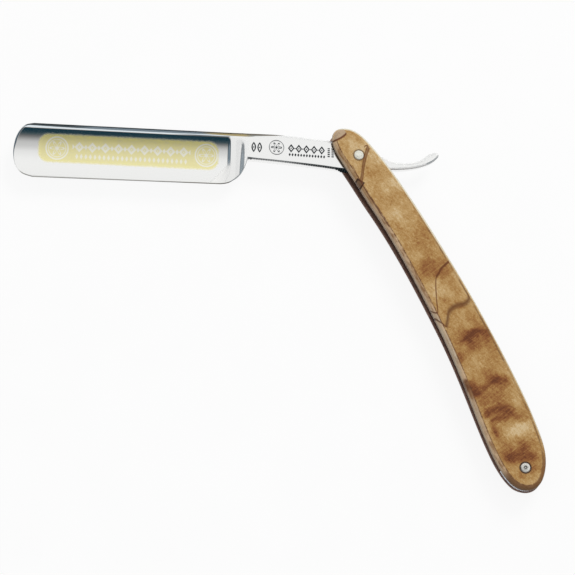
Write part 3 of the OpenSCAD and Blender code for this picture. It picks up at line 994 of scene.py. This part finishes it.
def satin_edges(x, y, z, rim):
    """The satin-ground thin edges of the shank's back and of the tail."""
    middle = follow(x, [
        (-30.0, 1.0), (-5.0, 0.6), (5.0, -0.8), (8.0, -1.4), (12.0, -2.0), (16.0, -2.1),
        (20.0, -1.5), (24.0, 0.1), (27.0, 2.0), (29.3, 3.2)])
    flat_z = 1.62 - (x - 9.0).max(0.0) * 0.0595
    mask = step(y - middle, -0.2, 0.2)
    mask = mask.max(step(z - flat_z, -0.10, 0.10) * step(x, 3.0, 6.0))
    mask = mask * step(rim, 0.95, 0.45) * step(x, -30.5, -25.0)
    return mask * (1.0 - step(x, 24.2, 25.4) * step(y - middle, 0.2, -0.2) * 0.7)


def wall_foot(x, y, honed_shaded_edge):
    """The foot of the wall at the end of the hollow."""
    low = (y * -1.0 - WALL_DROP).max(0.0)
    run = x * -1.0 - HOLLOW_END - WALL_BEND * maths("POWER", low, WALL_POWER)
    run = run / (WALL_WIDTH + WALL_SPREAD * low)
    return step(run, -0.25, 0.05) * step(run, 1.45, 1.0) * step(y, -1.6, -6.0) * (1.0 - honed_shaded_edge)


def steel():
    graph = Material("polished_steel_gilt")
    x, y, z = graph.coords()
    mark, rim = graph.attribute("mark"), graph.attribute("rim")
    on_blade = step(x, -43.0, -46.0)
    waver = noise((x, y, 0.0), scale=0.9, detail=4, rough=0.65) - 0.5
    gold, wash, light = gilt_wash(x, y, z, waver)
    # polished steel; the spine's flat is tinted bluer, a painted blue reflection
    spine_flat_painted_reflection = on_blade * step(y, 5.25, 5.40)
    base = mix(spine_flat_painted_reflection, (0.925, 0.925, 0.918), (0.80, 0.86, 0.91))
    base = mix(gold, base, wash)
    # stamped marks hold dark polish residue
    base = mix(step(mark, 0.16, 0.66) * 0.95, base, (0.022, 0.030, 0.036))
    # the honed bevel is duller and darkened with painted shade, the back of the spine is duller and
    # coloured with a painted dark reflection, and the notches are filled with painted shade
    honed_shaded_edge = step(rim, 0.42, 0.22) * step(y, -9.5, -11.0) * on_blade
    base = mix(honed_shaded_edge * (0.70 + 0.26 * step(x, -74.0, -52.0)), base, (0.22, 0.20, 0.17))
    # painted dark reflection along the back of the spine
    back, back_reflection_tint = spine_back_painted_reflection(x, y, rim, waver)
    base = mix(back * 0.94, base, back_reflection_tint)
    # a painted dark line of shade along the top of the hollow
    crease = step((y - 5.34).abs(), 0.28, 0.12) * step(x, -68.0, -56.0) * on_blade
    crease = crease * step(x, -45.0, -46.0)
    base = mix(crease * 0.82, base, (0.016, 0.026, 0.032))
    # painted shade, dark teal, in the notches and up the shank's wall under the handle
    notches, teeth = notch_painted_shade(x, y, z, rim)
    base = mix(notches * teeth, base, (0.010, 0.026, 0.032))
    # the thin edges are satin, and so are the wall's foot and, a little, the shoulder groove
    foot = wall_foot(x, y, honed_shaded_edge)
    groove = step(x, -43.6, -42.8) * step(x, -38.2, -39.2) * step(y, 4.9, 4.2)
    satin = satin_edges(x, y, z, rim).max(foot * 0.90).max(groove * 0.34)
    # fine polish lines: across the flank on the blade, along the shank
    across = noise((x * 9.0, y * 0.35, z), detail=2, rough=0.7)
    along = noise((x * 0.25, y * 8.0, z * 8.0), detail=2, rough=0.7)
    lines = across * on_blade + along * (1.0 - on_blade)
    smear = noise((x, y, z), scale=0.18)
    rough = 0.062 + 0.04 * smear + 0.03 * lines + 0.14 * gold
    rough = rough + 0.35 * step(mark, 0.2, 0.8) + 0.2 * honed_shaded_edge
    rough = rough + 0.22 * back + 0.3 * notches + 0.40 * satin
    base = mix(satin * 0.8, base, (0.93, 0.93, 0.925))
    base = mix(foot, base, (1.0, 0.992, 0.975))
    gilt_sheen = mix(light, (1.0, 0.955, 0.64), (1.0, 0.985, 0.88))
    dull = notches.max(satin)
    return graph.finish(
        color=base, metal=(1.0 - gold) * (1.0 - satin) * (1.0 - notches), ior=8.0 - dull * 6.7,
        spec=(1.0 - dull) * 0.5, tint=mix(gold, (1.0, 1.0, 1.0), gilt_sheen), rough=rough,
        normal=bump(lines, strength=0.05, distance=0.00002))


# ================================================================= OTHER METALS
def turned_metal(name, color, rough, metal=1.0, dish=None):
    """Turned metal; dish is the (x, y, radius) of a hollow that holds dirt."""
    graph = Material(name)
    x, y, z = graph.coords()
    patch = noise((x, y, z), scale=1.2)
    fine = noise((x * 6, y * 6, z * 30), detail=2, rough=0.7)
    base = mix(step(patch, 0.35, 0.75), tuple(c * 0.88 for c in color), color)
    if dish:
        middle_x, middle_y, edge = dish
        radius = length(x - middle_x, y - middle_y)
        dirt = step(radius, edge, edge * 0.70) * step(radius, 0.05, 0.30) * 0.88
        base = mix(dirt, base, (0.11, 0.10, 0.09))
    return graph.finish(color=base, metal=metal, rough=rough + 0.10 * fine,
                        normal=bump(fine, strength=0.10, distance=0.00003))


def satin_aluminium():
    graph = Material("satin_aluminium")
    x, y, z = graph.coords()
    along, across = to_handle(x, y)
    brush = noise((along * 0.4, across * 0.4, z * 14.0), rough=0.65)
    patch = noise((x, y, z), scale=0.7)
    color = (0.80, 0.85, 0.90)
    return graph.finish(color=mix(patch, tuple(c * 0.88 for c in color), color), metal=1.0,
                        rough=0.35 + 0.12 * brush,
                        normal=bump(brush, strength=0.15, distance=0.00004))


# ========================================================================= WOOD
# In all that follows on wood, x runs along the handle and y across it.
BROWN, OLIVE = (0.150, 0.044, 0.012), (0.148, 0.054, 0.017)
KNOT_EDGE = [(-5.9, -9.0), (-4.3, -8.3), (-1.8, -8.5), (-0.3, -9.2)]       # (y, x)
# a broad double vein by the pivot and a broad olive one further along, as (y, x)
PIVOT_VEIN = [(4.6, -1.3), (2.4, 0.8), (0.5, 3.0), (-1.0, 5.0), (-2.7, 7.5), (-4.0, 9.0)]
OLIVE_VEIN = [(11.2, 62.2), (10.4, 63.5), (8.7, 64.1), (6.5, 63.7), (4.2, 63.6), (2.2, 64.3),
              (0.8, 66.0), (-0.5, 67.7), (-1.4, 68.8)]
DARK_VEIN = [(10.7, 48.2), (8.8, 48.7), (6.8, 49.4), (5.3, 50.5), (3.9, 51.2)]
# axis a vein runs along, half its width, softness, points as (place on that axis, on the other)
THIN_VEINS = [
    ("y", 0.14, 0.5, [(4.6, -1.3), (4.2, -1.9), (3.6, -2.0), (3.0, -1.2)]),
    ("x", 0.21, 0.5, [(51.0, 4.1), (53.2, 2.7), (57.0, 0.9), (59.2, -0.1), (62.5, -1.4)]),
    ("y", 0.22, 0.5, [(-3.3, 60.9), (-2.6, 62.3), (-2.0, 62.8), (-1.3, 62.5)]),
    ("x", 0.24, 0.5, [(63.8, -3.5), (67.4, -1.9), (68.9, -1.3)]),
    ("x", 0.14, 0.5, [(2.4, -3.9), (7.4, -4.0), (11.6, -3.9), (18.7, -3.35), (27.9, -2.5)])]
FAINT_VEINS = [
    ("y", 0.20, 0.8, [(-4.2, 90.0), (-3.2, 92.5), (-1.0, 94.6), (2.0, 94.0), (5.0, 92.6)]),
    ("y", 0.26, 0.9, [(0.5, 75.6), (4.0, 75.2), (7.5, 75.0), (11.0, 76.4)]),
    ("y", 0.22, 0.9, [(-3.8, 104.0), (0.0, 102.3), (4.0, 103.0), (7.0, 106.0)])]


def add_veins(color, x, y, rim, fibre, drift):
    """The dark veins of the front scale, with a pale knot and a dark scar."""
    waver = (fibre - 0.5) * 0.30

    def line(points, half, soft=0.5, axis="y"):
        run, off = (x, y) if axis == "x" else (y, x)
        return ribbon(run, off, points, half, soft, waver * 0.6)

    def strongest(veins):
        lines = [line(points, half, soft, axis) for axis, half, soft, points in veins]
        result = lines[0]
        for other in lines[1:]:
            result = result.max(other)
        return result

    double = line(PIVOT_VEIN, 0.56, 0.35)
    double = (double - line(PIVOT_VEIN, 0.30, 0.9) * 0.30).max(0.0)
    olive = line(OLIVE_VEIN, 0.74, 0.7) * 0.72
    core = line([(place, off - 0.1) for place, off in OLIVE_VEIN], 0.28, 0.6)
    olive = olive.max(core * (0.62 + 0.5 * drift))
    # the pale knot at the pivot end
    knot = step(x - follow(y, KNOT_EDGE), 0.05, -0.25)
    knot = knot * step(y, -6.2, -5.7) * step(y, -0.1, -0.6) * step(rim, 0.45, 0.80)
    color = mix(knot * 0.85, color, (0.52, 0.39, 0.27))
    # the square scar by the pivot
    right = (x - 9.3) * 0.85 + (y + 4.8) * 0.5
    up = (y + 4.8) * 0.85 - (x - 9.3) * 0.5
    square = (right.abs() / 1.45).max(up.abs() / 1.25)
    color = mix(step(square, 1.1, 0.95) * 0.70, color, (0.17, 0.085, 0.050))
    color = mix(step((square - 0.88).abs(), 0.28, 0.12) * 0.9, color, (0.070, 0.028, 0.014))
    color = mix(strongest(FAINT_VEINS) * 0.42, color, BROWN)
    dark = (double * 0.92).max(line(DARK_VEIN, 0.40) * 0.92).max(line(KNOT_EDGE, 0.34) * 0.94)
    color = mix(dark.max(strongest(THIN_VEINS) * 0.80), color, BROWN)
    return mix(olive * 0.96, color, OLIVE)


def color_hollow_side(color, x, rim, hollow_side, drift, fibre, mottle):
    """A painted highlight along the outer edge, and pale and stained stretches on the front scale's
    rounding, on its hollow side.
    """
    # a painted highlight along the outer edge of the rounding
    color = mix(step(rim, 0.50, 0.20) * hollow_side * 0.62, color, (0.98, 0.76, 0.54))
    pale = (step(x, 59.0, 65.0) * step(x, 87.5, 85.0)).max(
        step(x, 94.0, 97.0) * step(x, 111.0, 105.0) * 0.6)
    pale = pale * (0.10 + 0.66 * step(drift + (fibre - 0.5) * 0.4, 0.40, 0.62))
    color = mix(step(rim, 1.40, 1.10) * hollow_side * pale, color, (0.98, 0.82, 0.60))
    dark_band = step(x, 87.2, 89.2) * step(x, 93.6, 91.6) * (0.35 + 0.65 * step(mottle, 0.38, 0.60))
    return mix(step(rim, 1.60, 1.20) * hollow_side * dark_band * 0.74, color, (0.200, 0.062, 0.024))


def color_rounding(color, x, rim, convex, band, drift):
    """The rounding on the convex side, with a painted highlight, and all round the wedge end."""
    # a painted highlight, cream, on the convex rounding
    lit = step(rim, 1.20, 0.70) * step(x, 60.0, 34.0)
    lit = lit.max(step(rim, 0.86, 0.46) * step(x, 124.0, 112.0))
    lit = lit * step(rim, 0.02, 0.12)           # the upright side is plain wood
    color = mix(lit * convex * 0.92, color, (0.86, 0.81, 0.64))
    shoulder = step((rim - 1.38).abs(), 0.46, 0.10) * convex * step(x, 8.0, 40.0)
    color = mix(shoulder * (0.30 + 0.60 * step(drift, 0.40, 0.60)), color, (0.190, 0.095, 0.040))
    return mix(step(x, 121.5, 127.0) * band * 0.88, color, (0.255, 0.112, 0.040))


def wood(name, front_face):
    graph = Material(name)
    x, y, z = graph.coords()
    x, y = to_handle(x, y)
    tone, rim, convex, inner = [graph.attribute(n) for n in ("tone", "rim", "convex", "inner")]
    hollow_side = 1.0 - convex
    # the grain is curly: short fibres at a slant, broken by a fine mottle
    sway = noise((x * 0.10, y * 0.2, z * 0.2))
    slant_x = x * 0.90 + y * 0.42
    slant_y = y * 0.90 - x * 0.42
    fibre = noise((slant_x * 0.50, slant_y * 1.6 + sway * 6.0, z * 2.0), detail=5, rough=0.68)
    hair = noise((slant_x * 1.3, slant_y * 6.0 + sway * 14.0, z * 8.0), rough=0.7)
    mottle = noise((x * 0.75, y * 0.95, z), detail=6, rough=0.72)
    speck = noise((x * 2.6, y * 2.9, z * 2.8), rough=0.6)
    flame = noise((x * 1.55 + y * 0.30 + (mottle - 0.5) * 1.2, y * 0.20, z * 0.2),
                  detail=4, rough=0.62)
    deep = (tone - 0.30).max(0.0)
    shade_of = tone + (flame - 0.5) * (0.20 + deep * 1.9)
    shade_of = shade_of + (fibre - 0.5) * 0.62 + (hair - 0.5) * 0.34
    shade_of = shade_of + (mottle - 0.5) * 0.60 + (speck - 0.5) * 0.52
    color = ramp(shade_of, [
        (0.0, (0.700, 0.520, 0.290)), (0.16, (0.590, 0.385, 0.165)),
        (0.40, (0.440, 0.240, 0.074)), (0.62, (0.320, 0.134, 0.038)),
        (0.84, (0.225, 0.072, 0.020)), (1.0, (0.150, 0.044, 0.014))])
    # the rounded side is greyer on the hollow side, a painted sheen for how that side catches the
    # light
    band = step(rim, 1.5, 1.25)
    drift = noise((x * 0.22, y * 0.5, z * 0.8), detail=4, rough=0.65)
    grey = mix(step(drift + (tone - 0.3) * 0.6, 0.36, 0.66), (0.950, 0.670, 0.420),
               (0.420, 0.215, 0.098))
    grey = mix(step(x, 1.0, 6.0) * step(x, 24.0, 13.0) * 0.60, grey, (0.47, 0.240, 0.100))
    color = mix(band * hollow_side * (0.66 + 0.24 * step(x, 4.0, 26.0)), color, grey)
    if front_face:
        color = color_hollow_side(color, x, rim, hollow_side, drift, fibre, mottle)
    color = color_rounding(color, x, rim, convex, band, drift)
    shoulder = step((rim - 1.42).abs(), 0.32, 0.06) * hollow_side
    color = mix(shoulder * (0.35 + 0.6 * step(mottle, 0.40, 0.60)), color, (0.150, 0.060, 0.024))
    # painted contact shadow in a dark ring round the collars
    for along, strength in ((0.0, 0.50), (SPAN, 0.96)):
        ring = step((length(x - along, y) - 1.94).abs(), 0.42, 0.14)
        color = mix(ring * strength, color, (0.090, 0.045, 0.026))
    if front_face:
        color = add_veins(color, x, y, rim, fibre, drift)
    # painted shade along the very edge on the hollow side
    color = mix(step(rim, 0.12, 0.03) * hollow_side * 0.35, color, (0.150, 0.080, 0.050))
    # painted shade on the inner face, which lies in the dark gap between the scales
    dark = mix(step(mottle, 0.35, 0.65), (0.150, 0.078, 0.060), (0.090, 0.046, 0.038))
    color = mix(inner * 0.92, color, dark)
    if not front_face:
        # painted shade on the rear scale's hollow-side edge, which lies in the front scale's shade
        dark_band = mix(step(fibre, 0.35, 0.65), (0.420, 0.240, 0.180), (0.210, 0.112, 0.090))
        color = mix(step(rim, 0.9, 0.2) * hollow_side * 0.90, color, dark_band)
    # small dark pores drawn out along the grain
    pores = step(noise((slant_x * 1.2, slant_y * 5.0 + sway * 6.0, z * 6.0), detail=2, rough=0.5),
                 0.62, 0.70)
    color = mix(pores * 0.36, color, (0.16, 0.062, 0.022))
    height = hair * 0.5 + fibre * 0.4 - pores * 0.8
    return graph.finish(color=color, rough=0.42 + 0.16 * fibre + 0.1 * pores, spec=0.25,
                        normal=bump(height, strength=0.20, distance=0.00006))


# =================================================================== DRESSING
def dress(ob, material, body, node):
    ob.data.materials.clear()
    ob.data.materials.append(material)
    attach(ob, body)
    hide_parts(node)


steel_material = steel()
woods = {"front": wood("figured_olive_wood", True), "rear": wood("figured_olive_wood_rear", False)}
metals = {
    "nickel": turned_metal("nickel_silver", (0.98, 0.96, 0.90), rough=0.36, metal=0.45,
                           dish=(ALONG[0] * SPAN, ALONG[1] * SPAN, PIN_RADIUS)),
    "cream": turned_metal("pale_nickel_silver", (1.0, 0.985, 0.87), rough=0.50, metal=0.15),
    "brass": turned_metal("washer_brass", (0.83, 0.64, 0.30), rough=0.22)}
dress(blade, steel_material, "blade", "blade")
for end, ob in scales.items():
    dress(ob, woods[end], "handle", f"{end}_scale")
for ob, node, slot, metal in turned:
    dress(ob, metals[metal], "handle", node)

# the wedge keeps its CAD shape, with its sharp corners eased
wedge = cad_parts["wedge"]
wedge.data.materials.clear()
wedge.data.materials.append(satin_aluminium())
bevel = wedge.modifiers.new("ease", "BEVEL")
bevel.width = 0.12 * MM
bevel.segments = 3
bevel.limit_method = "ANGLE"
bevel.angle_limit = math.radians(40)

# ====================================================================== STAGE
scene = bpy.context.scene


def paper():
    """White paper that glows a little, so that it stays white and its shadows stay faint."""
    material = bpy.data.materials.new("white_paper")
    material.use_nodes = True
    graph = Graph(material.node_tree)
    rays = graph.node("LightPath")
    place = split(graph.value(graph.node("TexCoord"), "Object"))
    grain = noise(place, scale=40.0, detail=2)
    white = mix(grain, (0.985, 0.985, 0.985), (1.0, 1.0, 1.0))
    seen = graph.blend(0.10, graph.shader("Emission", white, 1.0),
                       graph.shader("BsdfDiffuse", (0.95, 0.95, 0.95)))
    # mirrored in the steel it is white from above and dark at a grazing angle
    incoming = split(graph.value(graph.node("NewGeometry"), "Incoming"))
    steep = step(incoming[2].abs(), 0.25, 0.60)
    mirrored = graph.shader("Emission", mix(steep, (0.06, 0.08, 0.09), (0.93, 0.93, 0.93)), 1.0)
    unseen = graph.blend(graph.value(rays, "Is Glossy Ray"),
                         graph.shader("BsdfDiffuse", (0.22, 0.22, 0.22)), mirrored)
    graph.node("OutputMaterial",
               graph.blend(graph.value(rays, "Is Camera Ray"), unseen, seen))
    return material


def make_floor():
    half, z = 6.0, cad_low.z - 0.0002
    mesh = bpy.data.meshes.new("floor")
    mesh.from_pydata([(-half, -half, z), (half, -half, z), (half, half, z), (-half, half, z)],
                     [], [(0, 1, 2, 3)])
    floor = bpy.data.objects.new("floor", mesh)
    scene.collection.objects.link(floor)
    mesh.materials.append(paper())


# greys the hollow reflects, by degrees of tilt from overhead to the cutting edge's side
FAN_TOE = [
    (-40, 0.88), (-15, 0.925), (-9.5, 0.92), (-5, 0.85), (-1.9, 0.80), (-0.5, 0.71),
    (0.9, 0.645), (2.4, 0.58), (6.0, 0.54), (7.6, 0.42), (9.1, 0.28), (10.5, 0.18), (11.7, 0.110)]
FAN_HEEL = [
    (-40, 0.88), (-15, 0.925), (-6, 0.915), (-1.9, 0.885), (0.9, 0.82), (3.5, 0.74),
    (6.2, 0.66), (7.6, 0.585), (9.1, 0.475), (10.6, 0.30), (11.9, 0.145)]
FAN_DEEP = [(12.9, (0.050, 0.082, 0.092)), (14.5, (0.014, 0.044, 0.060)),
            (16.2, (0.0085, 0.034, 0.050))]


def fan(tilt, greys):
    """Colour by tilt over -40 to 40 degrees."""
    stops = [(angle, (grey, grey * 1.003, grey * 0.997)) for angle, grey in greys] + FAN_DEEP
    return ramp(maths("MULTIPLY_ADD", tilt, 1 / 80, 0.5, clamp=True),
                [((angle + 40) / 80, color) for angle, color in stops])


def mirrored_sky(x, y, z):
    """White overhead, with dark cards where the polished steel should read dark."""
    degrees = 180 / math.pi
    to_edge = maths("ARCTAN2", y * -1.0, z) * degrees     # tilt from overhead to -y
    to_handle_side = maths("ARCTAN2", x, z) * degrees     # and to +x
    toe_fan = fan(to_edge, FAN_TOE)
    heel_fan = fan(to_edge, FAN_HEEL)
    sky = mix(step(to_handle_side, 6.2, 3.6), heel_fan, toe_fan)
    low = step(to_edge, 62.0, 48.0)                       # the dark ends before the horizon
    sky = mix(step(to_edge, 13.0, 15.0) * (1.0 - low), sky, (0.50, 0.53, 0.55))
    # a slate card on the toe's side
    west = x * -1.0
    card = step(west, 0.14, 0.26) * step(y - west * 0.5, 0.32, 0.10) * step(y, -0.86, -0.76)
    slate = mix(step(z, 0.35, 0.80), (0.170, 0.225, 0.270), (0.020, 0.046, 0.064))
    sky = mix(card * 0.97, sky, slate)
    # a dark card low on the +y side
    back = step(to_edge, -32.0, -40.0) * step(to_edge, -87.0, -80.0)
    back = back * step(to_handle_side.abs(), 46.0, 34.0)
    sky = mix(back * 0.96, sky, (0.020, 0.038, 0.050))
    flanks = step(to_handle_side.abs(), 52.0, 68.0) * (1.0 - card)
    return mix(flanks * 0.75, sky, (0.62, 0.64, 0.66))


def make_world():
    world = bpy.data.worlds.new("studio")
    scene.world = world
    world.use_nodes = True
    graph = Graph(world.node_tree)
    rays = graph.node("LightPath")
    x, y, z = split(graph.value(graph.node("TexCoord"), "Generated"))
    sky = mirrored_sky(x, y, z)
    # plain soft light for everything that isn't polished
    soft = mix(step(z, -0.1, 0.9), (0.26, 0.27, 0.28), (0.94, 0.95, 0.96))
    soft = mix(step(y, -0.1, -0.8) * 0.65, soft, (0.10, 0.11, 0.12))
    seen = graph.shader("Background", (0.975, 0.976, 0.978), 1.0)
    lit = graph.blend(graph.value(rays, "Is Diffuse Ray"), graph.shader("Background", sky, 1.0),
                      graph.shader("Background", soft, 0.86))
    graph.node("OutputWorld", graph.blend(graph.value(rays, "Is Camera Ray"), lit, seen))


def make_key():
    """A soft warm light above, from the +x and +y side."""
    light = bpy.data.lights.new("key", "AREA")
    light.shape = "SQUARE"
    light.size = 0.6
    light.energy = 9.0
    light.color = (1.0, 0.985, 0.955)
    ob = bpy.data.objects.new("key", light)
    scene.collection.objects.link(ob)
    place, target = Vector((0.45, 0.95, 1.05)), Vector((-0.02, 0.0, 0))
    ob.location = place
    ob.rotation_mode = "QUATERNION"
    ob.rotation_quaternion = (target - place).to_track_quat("-Z", "Y")
    ob.visible_glossy = False


def make_camera():
    data = bpy.data.cameras.new("cam")
    camera = bpy.data.objects.new("cam", data)
    scene.collection.objects.link(camera)
    scene.camera = camera
    data.sensor_width = 36.0
    data.lens = 268.322713
    data.clip_start = 0.05
    data.clip_end = 30
    eye = (PIVOT + [-203.23, -462.17, 1430.58]) * MM
    right = np.array([0.9918, 0.0112, 0.1275])
    back = np.array([-0.1194, -0.2760, 0.9537])
    right = right - back * (right @ back) / (back @ back)
    right /= np.linalg.norm(right)
    back /= np.linalg.norm(back)
    pose = np.eye(4)
    pose[:3] = np.c_[right, np.cross(back, right), back, eye]
    camera.matrix_world = Matrix(pose.tolist())


make_floor()
make_world()
make_key()
make_camera()
scene.view_settings.view_transform = "Standard"
scene.view_settings.look = "None"
